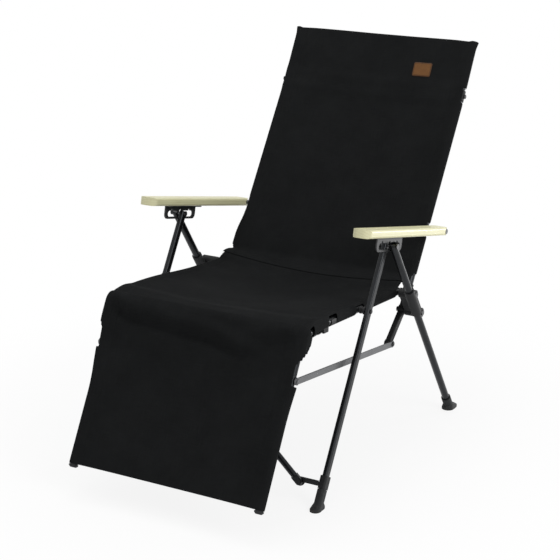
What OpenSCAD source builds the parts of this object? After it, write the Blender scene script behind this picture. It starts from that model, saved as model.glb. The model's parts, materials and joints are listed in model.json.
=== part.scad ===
// Folding reclining camping chair with a linked footrest.
// +X is the sitter's left, the chair faces -Y, +Z is up and the floor is z = 0.
// Points in the side plane are [y, z].

/* [Side frame] */
// Height of the pin that joins the front and the rear leg
pin_h = 535; // [500:1:570]
// Distance of the leg pin behind the middle of the chair
pin_y = -17.4; // [-30:0.1:10]
// Reach of the front foot in front of the leg pin
front_reach = 328; // [300:1:360]
// Reach of the rear foot behind the leg pin
rear_reach = 368; // [340:1:400]
// Width of the flat front leg tube
front_leg_w = 12; // [10:0.5:14]
// Depth of the flat front leg tube
front_leg_d = 19; // [16:0.5:24]
// Diameter of the round rear leg tube
rear_leg_d = 18; // [15:0.5:20]
// Wall of every aluminium tube
tube_wall = 1.5; // [1:0.1:2.5]
// Half distance between the middles of the two front legs
front_leg_x = 278; // [262:0.5:294]

/* [Seat] */
// Length of the seat rail from the hub to its bend
rail_len = 380; // [350:1:410]
// Length of the seat rail from its bend to the knee
tip_len = 91.4; // [84:0.1:100]
// Rise of the seat rail from the hub to its bend, in degrees
seat_rise = 5.3; // [3:0.1:8]
// Distance of the rail joint below the leg pin, along the rear leg
rail_joint_s = 203.1; // [196:0.1:210]
// Distance of the recline joint below the leg pin, along the rear leg
back_joint_s = 272.2; // [264:0.1:280]
// Distance of both joints behind the middle line of the rear leg
joint_out = 18.1; // [17.5:0.1:20]
// Diameter of the seat, back and footrest tubes
rail_d = 19; // [17:0.5:20]
// Distance of the seat rail inboard of the front leg
rail_in = 30.5; // [29.5:0.5:33]

/* [Backrest] */
// Angle of the backrest from upright, in degrees
back_angle = 34; // [28:0.5:40]
// Angle of the head part from upright, in degrees
head_angle = 30; // [26:0.5:38]
// Length of the back from the recline joint to the bend
back_len = 572; // [540:1:620]
// Length of the head part above the bend
head_len = 145; // [110:1:160]
// Length of the lever below the recline joint
lever_len = 100; // [96:1:104]
// Angle of the lever from upright, in degrees
lever_angle = 50; // [48:0.5:52]

/* [Footrest] */
// Length of the footrest rail from the knee
foot_len = 388; // [350:1:420]
// Angle of the footrest from upright, in degrees
foot_angle = 29.3; // [20:0.1:40]
// Distance of the link pin below the knee
crank_len = 100; // [96:1:104]
// Distance of the footrest rail inboard of the seat rail
foot_in = 3.5; // [3:0.5:4.5]
// Height of the flat link bar
link_h = 14; // [12:0.5:18]
// Thickness of the flat link bar
link_t = 3.5; // [3:0.1:3.7]

/* [Armrests] */
// Length of the wooden armrest
arm_len = 464; // [430:1:480]
// Width of the wooden armrest
arm_w = 46; // [42:0.5:48]
// Thickness of the wooden armrest
arm_t = 20; // [18:0.5:24]
// Slope of the armrest, front end higher, in degrees
arm_tilt = 13.2; // [10:0.1:16]
// Distance of the armrest's inner face inboard of the front leg
arm_in = 16; // [15.5:0.1:16.5]
// Distance from the arm bolt to the rear end of the armrest
arm_tail = 14; // [12:0.5:20]
// Depth of the leg pin below the underside of the armrest
pin_drop = 20; // [18:0.5:22]
// Length of the bracket under the armrest
loop_len = 138; // [130:1:150]
// Depth of the bracket under the armrest
loop_d = 34; // [33:0.5:37]
// Thickness of the bracket's loop between the legs
loop_t = 3.5; // [3:0.1:4.5]

/* [Cross brace] */
// Distance of the brace's end pivots inboard of the seat rails
brace_in = 20.5; // [20.5:0.5:25]
// Diameter of the brace bars
brace_d = 15; // [12:0.5:15]
// Height of the lower brace pivots
brace_low_h = 52; // [50:1:60]
// Distance of the upper brace pivots behind the rail's bend
brace_back = 31; // [24:1:45]
// Distance of the upper brace pivots below the middle of the rail
brace_drop = 20; // [18:0.5:24]

/* [Fabric] */
// Thickness of the fabric
cloth_t = 1.6; // [1.2:0.1:2]
// Clearance between a tube and the sleeve round it
sleeve_gap = 0.4; // [0.3:0.05:0.6]
// Sag of the seat in the middle
seat_sag = 22; // [10:1:32]
// Sag of the backrest in the middle
back_sag = 26; // [10:1:36]
// Sag of the footrest in the middle
foot_sag = 12; // [6:1:20]

/* [Hardware] */
// Diameter of the leg pin and the recline bolt
pin_d = 8; // [7:0.5:9]
// Diameter of the small pivot pins
rivet_d = 6; // [5:0.5:7]
// Radial clearance of a pin in its bore
fit_gap = 0.05; // [0.03:0.01:0.1]
// Gap between faces that slide on each other
face_gap = 0.4; // [0.3:0.05:0.6]
// Height of the rubber boots on the legs
boot_h = 46; // [40:1:50]
// Wall of the rubber boots
boot_wall = 3; // [2.5:0.1:4]

/* [Hidden] */
$fn = 48;

black = "#1b1c1e";
anodised = "#4a4d50";
cloth = "#222326";
timber = "#e6d6ae";
steel = "#b9bcc0";

// Unit vector in the side plane, leaning back from upright by an angle
function lean(angle) = [sin(angle), cos(angle)];
// The same vector turned a quarter turn, towards the front and up
function side_on(angle) = [-cos(angle), sin(angle)];
function on_circle(centre, radius, angle) = centre + radius * [cos(angle), sin(angle)];

// The layers of each side, from the front leg's middle
leg_gap = 1;
loop_x = front_leg_x + front_leg_w / 2 + leg_gap;
rear_leg_x = loop_x + loop_t + leg_gap + rear_leg_d / 2;
rail_x = front_leg_x - rail_in;
foot_x = rail_x - foot_in;
arm_x = front_leg_x - arm_in;
brace_x = rail_x - brace_in;

top_pin = [pin_y, pin_h];
front_foot = [pin_y - front_reach, 0];
rear_foot = [pin_y + rear_reach, 0];
front_leg_len = norm(top_pin - front_foot);
rear_leg_len = norm(top_pin - rear_foot);
rear_dir = (rear_foot - top_pin) / rear_leg_len;
rear_out = [-rear_dir[1], rear_dir[0]];
rail_joint = top_pin + rail_joint_s * rear_dir + joint_out * rear_out;
back_joint = top_pin + back_joint_s * rear_dir + joint_out * rear_out;
rail_dir = [-cos(seat_rise), sin(seat_rise)];
rail_up = [sin(seat_rise), cos(seat_rise)];
rail_bend = rail_joint + rail_len * rail_dir;
tip_dir = [-1, 0];
knee = rail_bend + tip_len * tip_dir;
bend = back_joint + back_len * lean(back_angle);
lever_end = back_joint - lever_len * lean(lever_angle);
foot_dir = -lean(foot_angle);
link_end = knee + crank_len * foot_dir;
foot_end = knee + foot_len * foot_dir;
arm_dir = [-cos(arm_tilt), sin(arm_tilt)];
arm_up = [sin(arm_tilt), cos(arm_tilt)];
pin_to_arm = pin_drop + arm_t / 2;
back_up = lean(back_angle);

// The arm bolt lies where the armrest's middle line meets the back tube
arm_reach = ((top_pin + pin_to_arm * arm_up - back_joint) * side_on(back_angle))
    / -(arm_dir * side_on(back_angle));
arm_bolt_at = top_pin + pin_to_arm * arm_up + arm_reach * arm_dir;

sleeve_r = rail_d / 2 + sleeve_gap + cloth_t;
skin_r = sleeve_r - cloth_t / 2;
link_x = rail_x + 8.7;
hub_face_x = rail_x + rail_d / 2 + 2;

// Mirrors the left-hand piece to the right
module side(right) {
    if (right) mirror([1, 0, 0]) children();
    else children();
}

// Stands children on a point of the side plane, with their Z along a direction
module stand(x, at, dir) {
    translate([x, at[0], at[1]])
        rotate([-atan2(dir[0], dir[1]), 0, 0]) children();
}

// A cylinder along X, from x0 to x1
module cross_rod(at, d, x0, x1) {
    translate([x0, at[0], at[1]])
        rotate([0, 90, 0]) cylinder(d = d, h = x1 - x0);
}

// A rectangle with round corners, or a circle where the corners meet
module rounded(w, d, r) {
    if (2 * r < w) {
        square([w - 2 * r, d], center = true);
        square([w, d - 2 * r], center = true);
        for (x = [-1, 1], y = [-1, 1])
            translate([x * (w / 2 - r), y * (d / 2 - r)]) circle(r = r);
    }
    else circle(r = r);
}

module round_tube(d, len) {
    difference() {
        cylinder(d = d, h = len);
        translate([0, 0, -1]) cylinder(d = d - 2 * tube_wall, h = len + 2);
    }
}

module flat_tube(w, d, len) {
    linear_extrude(len) difference() {
        rounded(w, d, 4);
        rounded(w - 2 * tube_wall, d - 2 * tube_wall, 4 - tube_wall);
    }
}

boot_lift = 8;
leg_over = 5;

module front_leg() {
    color(anodised) difference() {
        stand(front_leg_x, front_foot, top_pin - front_foot)
            translate([0, 0, boot_lift])
                flat_tube(front_leg_w, front_leg_d, front_leg_len - boot_lift + leg_over);
        cross_rod(top_pin, pin_d + 2 * fit_gap, front_leg_x - 20, front_leg_x + 20);
        cross_rod(saddle_at, rivet_d + 2 * fit_gap, front_leg_x - 20, front_leg_x + 20);
    }
}

module rear_leg() {
    color(anodised) difference() {
        stand(rear_leg_x, rear_foot, top_pin - rear_foot)
            translate([0, 0, boot_lift])
                round_tube(rear_leg_d, rear_leg_len - boot_lift + leg_over);
        cross_rod(top_pin, pin_d + 2 * fit_gap, rear_leg_x - 20, rear_leg_x + 20);
    }
}

// Rubber boot with a flared pad, cut flat at the floor
module boot(x, foot, w, d, r) {
    lean_dir = top_pin - foot;
    ahead = foot[0] < top_pin[0] ? 1 : -1;
    pad_r = w / 2 + boot_wall + 4;
    bore = 2 * fit_gap;
    color(black) difference() {
        union() {
            stand(x, foot, lean_dir) translate([0, 0, -12])
                linear_extrude(boot_h + 12)
                    rounded(w + 2 * boot_wall, d + 2 * boot_wall, r + boot_wall);
            hull() {
                for (step = [-9, 9])
                    translate([x, foot[0] + step, 0]) cylinder(r = pad_r, h = 5, $fn = 32);
                translate([x, foot[0] + ahead * 9, 0])
                    cylinder(r = pad_r - 4, h = 17, $fn = 32);
            }
        }
        stand(x, foot, lean_dir) translate([0, 0, boot_lift])
            linear_extrude(boot_h + 12) rounded(w + bore, d + bore, r + fit_gap);
        translate([x - 50, foot[0] - 50, -50]) cube([100, 100, 50]);
    }
}

module front_boot() boot(front_leg_x, front_foot, front_leg_w, front_leg_d, 4);
module rear_boot() boot(rear_leg_x, rear_foot, rear_leg_d, rear_leg_d, rear_leg_d / 2);

module leg_pin() {
    head = [front_leg_x - front_leg_w / 2 - 0.6, rear_leg_x + rear_leg_d / 2 + 0.6];
    color(steel) {
        cross_rod(top_pin, pin_d, head[0], head[1]);
        cross_rod(top_pin, pin_d + 5, head[0] - 2.4, head[0]);
        cross_rod(top_pin, pin_d + 5, head[1], head[1] + 2.4);
    }
}

// Where the front leg passes the seat rail, as a distance along the rail
leg_side = [top_pin[1] - front_foot[1], front_foot[0] - top_pin[0]] / front_leg_len;
saddle_s = ((top_pin - rail_joint) * leg_side) / (rail_dir * leg_side);
saddle_at = rail_joint + saddle_s * rail_dir;
clip_s = rail_len - brace_back;
clip_at = rail_joint + clip_s * rail_dir;
arm_bolt_s = (arm_bolt_at - back_joint) * back_up;
tongue_r = rail_d / 2 - 0.5;
knuckle_r = 15;
tongue_back = knuckle_r + 4;
bolt_end_x = rail_x - rail_d / 2 - 1;

// The bent line of the seat rail as a round bar, longer than the rail by a bit at each end
module rail_bar(d, extra) {
    stand(rail_x, rail_joint, rail_dir) translate([0, 0, -10 - extra])
        cylinder(d = d, h = rail_len + 10 + extra);
    translate([rail_x, rail_bend[0], rail_bend[1]]) sphere(d = d);
    stand(rail_x, rail_bend, tip_dir) cylinder(d = d, h = tip_len - tongue_back + extra);
}

module seat_rail() {
    color(anodised) difference() {
        rail_bar(rail_d, 0);
        rail_bar(rail_d - 2 * tube_wall, 1);
        cross_rod(rail_joint, pin_d + 2 * fit_gap, rail_x - 20, rail_x + 20);
        cross_rod(saddle_at, rivet_d + 2 * fit_gap, rail_x - 20, rail_x + 20);
    }
}

// A plug for a tube's end with half a tongue, from x0 to x1, bored for the knee pin
module tongue(x, dir, x0, x1) {
    difference() {
        union() {
            stand(x, knee, dir) translate([0, 0, tongue_back])
                cylinder(d = rail_d - 2 * tube_wall - 0.1, h = 30);
            intersection() {
                union() {
                    stand(x, knee, dir) cylinder(r = tongue_r, h = tongue_back);
                    cross_rod(knee, 2 * knuckle_r, x0, x1);
                }
                translate([x0, knee[0] - 40, knee[1] - 40]) cube([x1 - x0, 80, 80]);
            }
            stand(x, knee, dir) translate([0, 0, tongue_back - 3.3])
                cylinder(r = tongue_r, h = 3);
        }
        cross_rod(knee, rivet_d + 2 * fit_gap, x0 - 9, x1 + 9);
        stand(x, knee, dir) translate([0, 0, tongue_back + 6])
            cylinder(d = rail_d - 2 * tube_wall - 5, h = 30);
    }
}

tongue_mid = (rail_x + foot_x) / 2 + 2.2;

module knee_fitting()
    color(black) tongue(rail_x, -tip_dir, tongue_mid, rail_x + tongue_r);
module footrest_hinge()
    color(black) tongue(foot_x, foot_dir, foot_x - tongue_r + 1, tongue_mid - face_gap);

module knee_pin() {
    color(steel) {
        cross_rod(knee, rivet_d, foot_x - tongue_r, rail_x + tongue_r + 1);
        cross_rod(knee, rivet_d + 5, rail_x + tongue_r + 0.3, rail_x + tongue_r + 2);
        cross_rod(knee, rivet_d + 5, foot_x - tongue_r - 1, foot_x - tongue_r + 0.7);
    }
}

// Plastic junction: a collar on the rear leg, and behind it the bosses of both joints
hub_out_x = rear_leg_x + 2;
hub_bolt_out = hub_out_x + 0.3;
bolt_head_d = pin_d + 5;

module hub() {
    boss_d = 24;
    collar_low = back_joint_s - 22;
    collar_h = 85;
    collar_d = rear_leg_d + 7;
    span = back_joint_s - rail_joint_s;
    color(black) difference() {
        union() {
            stand(rear_leg_x, top_pin + collar_low * rear_dir, -rear_dir)
                cylinder(d = collar_d, h = collar_h);
            for (at = [rail_joint, back_joint]) cross_rod(at, boss_d, hub_face_x, hub_out_x);
            stand(rear_leg_x, back_joint, -rear_dir)
                translate([hub_face_x - rear_leg_x, -8, 0])
                    cube([rear_leg_x - hub_face_x, 15, span]);
        }
        stand(rear_leg_x, top_pin + (back_joint_s + boss_d) * rear_dir, -rear_dir)
            cylinder(d = rear_leg_d + 2 * fit_gap, h = collar_h + 2 * boss_d);
        for (at = [rail_joint, back_joint])
            cross_rod(at, pin_d + 2 * fit_gap, rail_x, hub_out_x + 10);
        for (at = [rail_joint, back_joint])
            cross_rod(at, bolt_head_d + 1, hub_out_x, hub_out_x + 10);
        // Slot between the bosses that lightens the moulding
        stand(rear_leg_x, (rail_joint + back_joint) / 2, -rear_dir)
            translate([hub_face_x - rear_leg_x - 1, -3, -12]) cube([60, 6, 24]);
    }
}

lever_half = 7;

module hub_bolts() {
    for (at = [rail_joint, back_joint]) color(steel) {
        cross_rod(at, pin_d, bolt_end_x, hub_bolt_out);
        cross_rod(at, bolt_head_d, hub_bolt_out, hub_bolt_out + 3);
        cross_rod(at, pin_d + 4, bolt_end_x - 3, bolt_end_x - 0.2);
    }
    color(black) difference() {
        cross_rod(back_joint, pin_d + 8, rail_x + lever_half + face_gap, hub_face_x - 0.2);
        cross_rod(back_joint, pin_d, rail_x, hub_face_x);
    }
    color(black) difference() {
        cross_rod(rail_joint, pin_d + 5, rail_x + rail_d / 2 + 0.1, hub_face_x - 0.2);
        cross_rod(rail_joint, pin_d, rail_x, hub_face_x);
    }
}

// Spacer and bolt between the seat rail and the front leg
module rail_saddle() {
    inner = rail_x + rail_d / 2 + 0.2;
    outer = front_leg_x - front_leg_w / 2 - 0.2;
    color(black) difference() {
        union() {
            cross_rod(saddle_at, 13, inner, outer);
            cross_rod(saddle_at, 19, outer - 5, outer);
            cross_rod(saddle_at, 17, inner, inner + 4);
        }
        cross_rod(saddle_at, rivet_d, rail_x, front_leg_x);
    }
    color(steel) {
        cross_rod(saddle_at, rivet_d, bolt_end_x, front_leg_x + front_leg_w / 2 + 0.2);
        cross_rod(saddle_at, rivet_d + 4, front_leg_x + front_leg_w / 2 + 0.2,
            front_leg_x + front_leg_w / 2 + 2.6);
        cross_rod(saddle_at, rivet_d + 4, bolt_end_x - 2, bolt_end_x);
    }
}

// The cross brace lies in a plane that leans back from the feet to the rails.
// Its own frame has X across, Y through the plane and Z up the plane.
brace_low = front_foot + brace_low_h / (top_pin[1] - front_foot[1]) * (top_pin - front_foot)
    - [16, 0];
brace_high = clip_at - brace_drop * rail_up;
brace_up = brace_high - brace_low;
brace_rise = norm(brace_up);
brace_len = norm([2 * brace_x, brace_rise]);
brace_slope = atan2(brace_rise, 2 * brace_x);
brace_layer = brace_d / 2 + 0.5;
eye_t = 8;
eye_r = brace_d / 2 + 1;
eye_bare = eye_r + 6;

module brace_plane() {
    translate([0, brace_low[0], brace_low[1]])
        rotate([-atan2(brace_up[0], brace_up[1]), 0, 0]) children();
}

// A cylinder through the brace plane
module plane_rod(x, z, d, y0, y1) {
    translate([x, y1, z]) rotate([90, 0, 0]) cylinder(d = d, h = y1 - y0);
}

// A bar from the lower left to the upper right, in its layer of the plane
module brace_bar(layer) {
    bore = rivet_d + 2 * fit_gap;
    color(anodised) translate([brace_x, layer, 0]) rotate([0, brace_slope - 90, 0])
        difference() {
            union() {
                translate([0, 0, eye_bare]) cylinder(d = brace_d, h = brace_len - 2 * eye_bare);
                for (end = [0, 1]) translate([0, 0, end * brace_len]) {
                    plane_rod(0, 0, 2 * eye_r, -eye_t / 2, eye_t / 2);
                    translate([-eye_r, -eye_t / 2, end * -(eye_bare + 4)])
                        cube([2 * eye_r, eye_t, eye_bare + 4]);
                }
            }
            for (step = [0, 0.5, 1])
                plane_rod(0, step * brace_len, bore, -brace_d, brace_d);
            translate([0, 0, eye_bare + 12])
                cylinder(d = brace_d - 2 * tube_wall, h = brace_len / 2 - eye_bare - 24);
            translate([0, 0, brace_len / 2 + 12])
                cylinder(d = brace_d - 2 * tube_wall, h = brace_len / 2 - eye_bare - 24);
        }
}

module brace_bar_front() brace_plane() brace_bar(-brace_layer);
module brace_bar_rear() brace_plane() mirror([1, 0, 0]) brace_bar(brace_layer);

module brace_rivet() {
    reach = brace_layer + brace_d / 2 + 0.2;
    color(steel) brace_plane() {
        plane_rod(0, brace_rise / 2, rivet_d, -reach, reach);
        plane_rod(0, brace_rise / 2, rivet_d + 5, -reach - 2, -reach);
        plane_rod(0, brace_rise / 2, rivet_d + 5, reach, reach + 2);
    }
}

// Collar on the front leg with the ear that carries a brace bar
module brace_bracket(layer) {
    ear = layer > 0 ? [-0.4, brace_layer - eye_t / 2 - face_gap]
        : [-brace_layer + eye_t / 2 + face_gap, 0.4];
    collar = [front_leg_w + 2 * boot_wall, front_leg_d + 2 * boot_wall];
    head = layer > 0 ? brace_layer + eye_t / 2 + face_gap : -brace_layer - eye_t / 2 - face_gap;
    collar_s = boot_h + 1;
    collar_h = 30;
    color(black) difference() {
        union() {
            stand(front_leg_x, front_foot, top_pin - front_foot) translate([0, 0, collar_s])
                linear_extrude(collar_h) rounded(collar[0], collar[1], 5);
            brace_plane() {
                plane_rod(brace_x, 0, 2 * eye_r + 4, ear[0], ear[1]);
                translate([brace_x, ear[0], -1])
                    cube([front_leg_x - brace_x - 6, ear[1] - ear[0], eye_r + 3]);
            }
        }
        stand(front_leg_x, front_foot, top_pin - front_foot)
            linear_extrude(collar_s + collar_h + 10)
                rounded(front_leg_w + 2 * fit_gap, front_leg_d + 2 * fit_gap, 4);
    }
    color(steel) brace_plane() {
        plane_rod(brace_x, 0, rivet_d, min(ear[0], head), max(ear[1], head));
        plane_rod(brace_x, 0, rivet_d + 5, min(head, head + sign(layer) * 2.2),
            max(head, head + sign(layer) * 2.2));
    }
}

// Open clip round the seat rail, beside which a brace bar's upper eye lies
module brace_clip() {
    tab_x = brace_x + eye_r + face_gap;
    ring_r = rail_x - tab_x;
    color(black) difference() {
        union() {
            stand(rail_x, clip_at - 11 * rail_dir, rail_dir) cylinder(r = ring_r, h = 22);
            stand(rail_x, clip_at - 11 * rail_dir, rail_dir)
                translate([-ring_r, -brace_drop - 9, 0]) cube([4.4, brace_drop + 9, 22]);
        }
        stand(rail_x, clip_at - 20 * rail_dir, rail_dir)
            cylinder(d = rail_d + 2 * fit_gap, h = 40);
        stand(rail_x, clip_at - 20 * rail_dir, rail_dir)
            translate([-20, 6, 0]) cube([40, 34, 40]);
    }
}

socket_s = 32;

module back_tube() {
    color(anodised) difference() {
        stand(rail_x, back_joint, back_up) translate([0, 0, socket_s + 4])
            round_tube(rail_d, back_len - socket_s - 6);
        cross_rod(arm_bolt_at, rivet_d + 2 * fit_gap, rail_x - 20, rail_x + 20);
    }
}

module head_tube() {
    color(anodised) stand(rail_x, bend, lean(head_angle)) translate([0, 0, 2])
        round_tube(rail_d, head_len - 2);
}

// Plastic elbow that joins the two parts of the back tube, with its outer button
module back_elbow() {
    elbow_r = rail_d / 2 + 2;
    mid_angle = (back_angle + head_angle) / 2;
    color(black) difference() {
        union() {
            translate([rail_x, bend[0], bend[1]]) sphere(r = elbow_r);
            stand(rail_x, bend, lean(head_angle)) cylinder(r = elbow_r, h = 14);
            stand(rail_x, bend, -back_up) cylinder(r = elbow_r, h = 14);
            cross_rod(bend, 11, rail_x + elbow_r - 2, rail_x + elbow_r + 3);
        }
        stand(rail_x, bend, lean(head_angle)) translate([0, 0, 1.9])
            cylinder(d = rail_d + 2 * fit_gap, h = 30);
        stand(rail_x, bend, -back_up) translate([0, 0, 1.9])
            cylinder(d = rail_d + 2 * fit_gap, h = 30);
        stand(rail_x, bend - 20 * lean(mid_angle), lean(mid_angle))
            translate([-20, -40 - rail_d / 2 + 1.5, 0]) cube([40, 40, 40]);
    }
}

// Moulded foot of the back tube: a socket above the joint and the lever below it
module recline_lever() {
    color(black) difference() {
        union() {
            stand(rail_x, back_joint, back_up) translate([0, 0, socket_s])
                cylinder(d = rail_d + 5, h = 34);
            stand(rail_x, back_joint, back_up)
                linear_extrude(socket_s + 4) rounded(2 * lever_half, 17, 3);
            stand(rail_x, lever_end, lean(lever_angle))
                linear_extrude(lever_len) rounded(2 * lever_half, 17, 3);
            cross_rod(back_joint, 24, rail_x - lever_half, rail_x + lever_half);
            cross_rod(lever_end, 19, rail_x - lever_half, rail_x + lever_half);
            cross_rod(lever_end, 14, rail_x, link_x - 0.3);
        }
        stand(rail_x, back_joint, back_up) translate([0, 0, socket_s + 4])
            cylinder(d = rail_d + 2 * fit_gap, h = 40);
        cross_rod(back_joint, pin_d + 2 * fit_gap, rail_x - 20, rail_x + 20);
    }
    color(steel) {
        cross_rod(lever_end, rivet_d, rail_x, link_x + link_t + 0.4);
        cross_rod(lever_end, rivet_d + 5, link_x + link_t + 0.3, link_x + link_t + 2.4);
    }
}

// Wooden armrest with rounded ends and eased edges
module armrest() {
    r = arm_w / 2 - 4;
    color(timber) difference() {
        intersection() {
            stand(arm_x + arm_w / 2, arm_bolt_at - arm_tail * arm_dir, arm_dir)
                linear_extrude(arm_len) rounded(arm_w, arm_t, 6);
            translate([arm_x - 1, arm_bolt_at[0], arm_bolt_at[1]]) rotate([-arm_tilt, 0, 0])
                translate([0, -arm_len + arm_tail, -arm_t])
                    linear_extrude(2 * arm_t) translate([arm_w / 2 + 1, arm_len / 2, 0])
                        rounded(arm_w, arm_len, r);
        }
        cross_rod(arm_bolt_at, rivet_d + 2 * fit_gap, arm_x - 5, arm_x + arm_w + 5);
        cross_rod(arm_bolt_at, rivet_d + 9, arm_x + arm_w - 4, arm_x + arm_w + 5);
    }
}

module arm_bolt() {
    color(steel) {
        cross_rod(arm_bolt_at, rivet_d, bolt_end_x, arm_x + arm_w - 3);
        cross_rod(arm_bolt_at, rivet_d + 6, arm_x + arm_w - 3.6, arm_x + arm_w + 0.6);
        cross_rod(arm_bolt_at, rivet_d + 4, bolt_end_x - 2, bolt_end_x);
    }
    color(black) difference() {
        cross_rod(arm_bolt_at, rivet_d + 6, rail_x + rail_d / 2 + 0.2, arm_x - 0.4);
        cross_rod(arm_bolt_at, rivet_d, rail_x, arm_x);
    }
}

// Steel bracket under the armrest: a flange and a loop with three notches for the pin
module arm_bracket() {
    slot_top = pin_drop - pin_d / 2 - 2;
    slot_low = pin_drop + pin_d / 2 + 5;
    slot_half = 50;
    notch_step = 40;
    flange_x = loop_x - 17;
    slot_r = (slot_low - slot_top) / 2;
    color(anodised)
        translate([0, top_pin[0], top_pin[1]]) rotate([-arm_tilt, 0, 0])
            translate([0, 0, pin_drop]) {
                translate([flange_x, -loop_len / 2, -2.7])
                    cube([loop_x + loop_t - flange_x, loop_len, 2.5]);
                translate([loop_x, 0, 0]) rotate([90, 0, 90]) linear_extrude(loop_t)
                    difference() {
                        translate([0, -loop_d / 2 - 0.2]) union() {
                            rounded(loop_len, loop_d, 12);
                            translate([-loop_len / 2, 0]) square([loop_len, loop_d / 2]);
                        }
                        translate([-slot_half, -slot_low])
                            square([2 * slot_half, slot_low - slot_top]);
                        for (end = [-1, 1])
                            translate([end * slot_half, -slot_low + slot_r]) circle(r = slot_r);
                        for (step = [-1, 0, 1])
                            translate([step * notch_step, -slot_top]) circle(d = pin_d + 1.2);
                    }
            }
}

// Flat bar from the lever to the footrest, with the pin at its front end
module link_bar() {
    color(anodised) difference() {
        union() {
            stand(link_x, lever_end, link_end - lever_end)
                translate([0, -link_h / 2, 0]) cube([link_t, link_h, norm(link_end - lever_end)]);
            for (at = [lever_end, link_end])
                cross_rod(at, link_h + 3, link_x, link_x + link_t);
            cross_rod(link_end, rivet_d, foot_x, link_x + link_t - 1);
            cross_rod(link_end, rivet_d + 5, link_x + link_t - 1, link_x + link_t + 2.4);
        }
        cross_rod(lever_end, rivet_d + 2 * fit_gap, link_x - 5, link_x + 9);
    }
}

// Play of the link's pin in the footrest rail
link_play = 1.25;

module footrest_rail() {
    color(anodised) difference() {
        stand(foot_x, knee, foot_dir) translate([0, 0, tongue_back])
            round_tube(rail_d, foot_len - tongue_back);
        cross_rod(link_end, rivet_d + 2 * link_play, foot_x, foot_x + 30);
    }
}

module footrest_cap() {
    color(black) stand(foot_x, foot_end, foot_dir) {
        cylinder(d = rail_d + 3, h = 3);
        translate([0, 0, 3]) cylinder(d1 = rail_d + 3, d2 = rail_d - 5, h = 4);
        translate([0, 0, -20]) cylinder(d = rail_d - 2 * tube_wall - 0.1, h = 20.5);
    }
}

// A cloth panel between the two tubes. The path holds the edges of its middle surface,
// the outer side lies to the right-hand side of the walk along the path.
function path_normal(path, i) =
    let (a = path[max(i - 1, 0)], b = path[min(i + 1, len(path) - 1)], t = (b - a) / norm(b - a))
    [t[1], -t[0]];

module panel(path, sags, half_w) {
    cols = 12;
    rows = len(path);
    row = cols + 1;
    points = [for (skin = [0.5, -0.5], i = [0:rows - 1], j = [0:cols])
        let (n = path_normal(path, i), u = 2 * j / cols - 1,
            p = path[i] + n * (skin * cloth_t - sags[i] * (1 - u * u)))
        [u * half_w, p[0], p[1]]];
    low = rows * row;
    quads = concat(
        [for (i = [0:rows - 2], j = [0:cols - 1])
            [i * row + j, i * row + j + 1, (i + 1) * row + j + 1, (i + 1) * row + j]],
        [for (i = [0:rows - 2], j = [0:cols - 1])
            [low + i * row + j, low + (i + 1) * row + j,
                low + (i + 1) * row + j + 1, low + i * row + j + 1]],
        [for (j = [0:cols - 1]) [j, low + j, low + j + 1, j + 1]],
        [for (j = [0:cols - 1]) let (k = (rows - 1) * row + j) [k, k + 1, low + k + 1, low + k]],
        [for (i = [0:rows - 2]) let (k = i * row) [k, k + row, low + k + row, low + k]],
        [for (i = [0:rows - 2]) let (k = i * row + cols) [k, low + k, low + k + row, k + row]]);
    faces = [for (q = quads, half = [0, 1]) half == 0 ? [q[0], q[1], q[2]] : [q[0], q[2], q[3]]];
    polyhedron(points = points, faces = faces, convexity = 6);
}

// Sewn sleeves round both tubes, left open where fittings reach the tube
module sleeves(x, from, dir, spans) {
    inner_r = (rail_d / 2 + sleeve_gap) / cos(15);
    for (span = spans, mirrored = [false, true]) side(mirrored)
        stand(x, from + span[0] * dir, dir) difference() {
            cylinder(r = inner_r + cloth_t, h = span[1] - span[0], $fn = 12);
            translate([0, 0, -1]) cylinder(r = inner_r, h = span[1] - span[0] + 2, $fn = 12);
        }
}

function arc_path(centre, radius, from, to, steps) =
    [for (i = [0:steps]) on_circle(centre, radius, from + (to - from) * i / steps)];
function sag_row(n, depth, lead, tail) =
    [for (i = [0:n - 1]) i < lead || i > n - 1 - tail ? 0
        : depth * sin(180 * (i - lead + 0.5) / (n - lead - tail))];

crease_r = 80;
wrap_gap = 3;
notch = 14;
seat_steps = 12;
tip_steps = 3;
knee_r = knuckle_r + 3;
crease_from = 78;
crease_to = 119;
knee_from = 98;
knee_to = 134;

seat_line = [for (i = [0:seat_steps])
    rail_joint + (8 + (rail_len - 8) * i / seat_steps) * rail_dir + skin_r * rail_up];
tip_line = [for (i = [1:tip_steps]) rail_bend + tip_len * i / tip_steps * tip_dir
    + [0, skin_r + (knee_r - skin_r) * pow(i / tip_steps, 2)]];
seat_path = concat(arc_path(back_joint, crease_r, crease_from, crease_to, 4), seat_line,
    tip_line, arc_path(knee, knee_r, knee_from, knee_to, 4));

module seat_sling() {
    color(cloth) {
        panel(seat_path, sag_row(len(seat_path), seat_sag, 5, 5), rail_x);
        sleeves(rail_x, rail_joint, rail_dir, [[notch, saddle_s - notch],
            [saddle_s + notch, clip_s - notch], [clip_s + notch, rail_len - 1]]);
        sleeves(rail_x, rail_bend, tip_dir, [[1, tip_len - tongue_back - 4]]);
    }
}

back_side = side_on(back_angle);
head_side = side_on(head_angle);
head_steps = 4;
back_steps = 14;
back_start = sqrt(pow(crease_r + wrap_gap, 2) - skin_r * skin_r) + 3;
back_wrap = 90 - back_angle + 7;
back_path = concat(
    [for (i = [head_steps:-1:1]) bend + (head_len + 7) * i / head_steps * lean(head_angle)
        + skin_r * head_side],
    [for (i = [back_steps:-1:0]) back_joint
        + (back_start + (back_len - back_start) * i / back_steps) * back_up + skin_r * back_side],
    arc_path(back_joint, crease_r + wrap_gap, back_wrap + 3, 103, 4));

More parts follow.
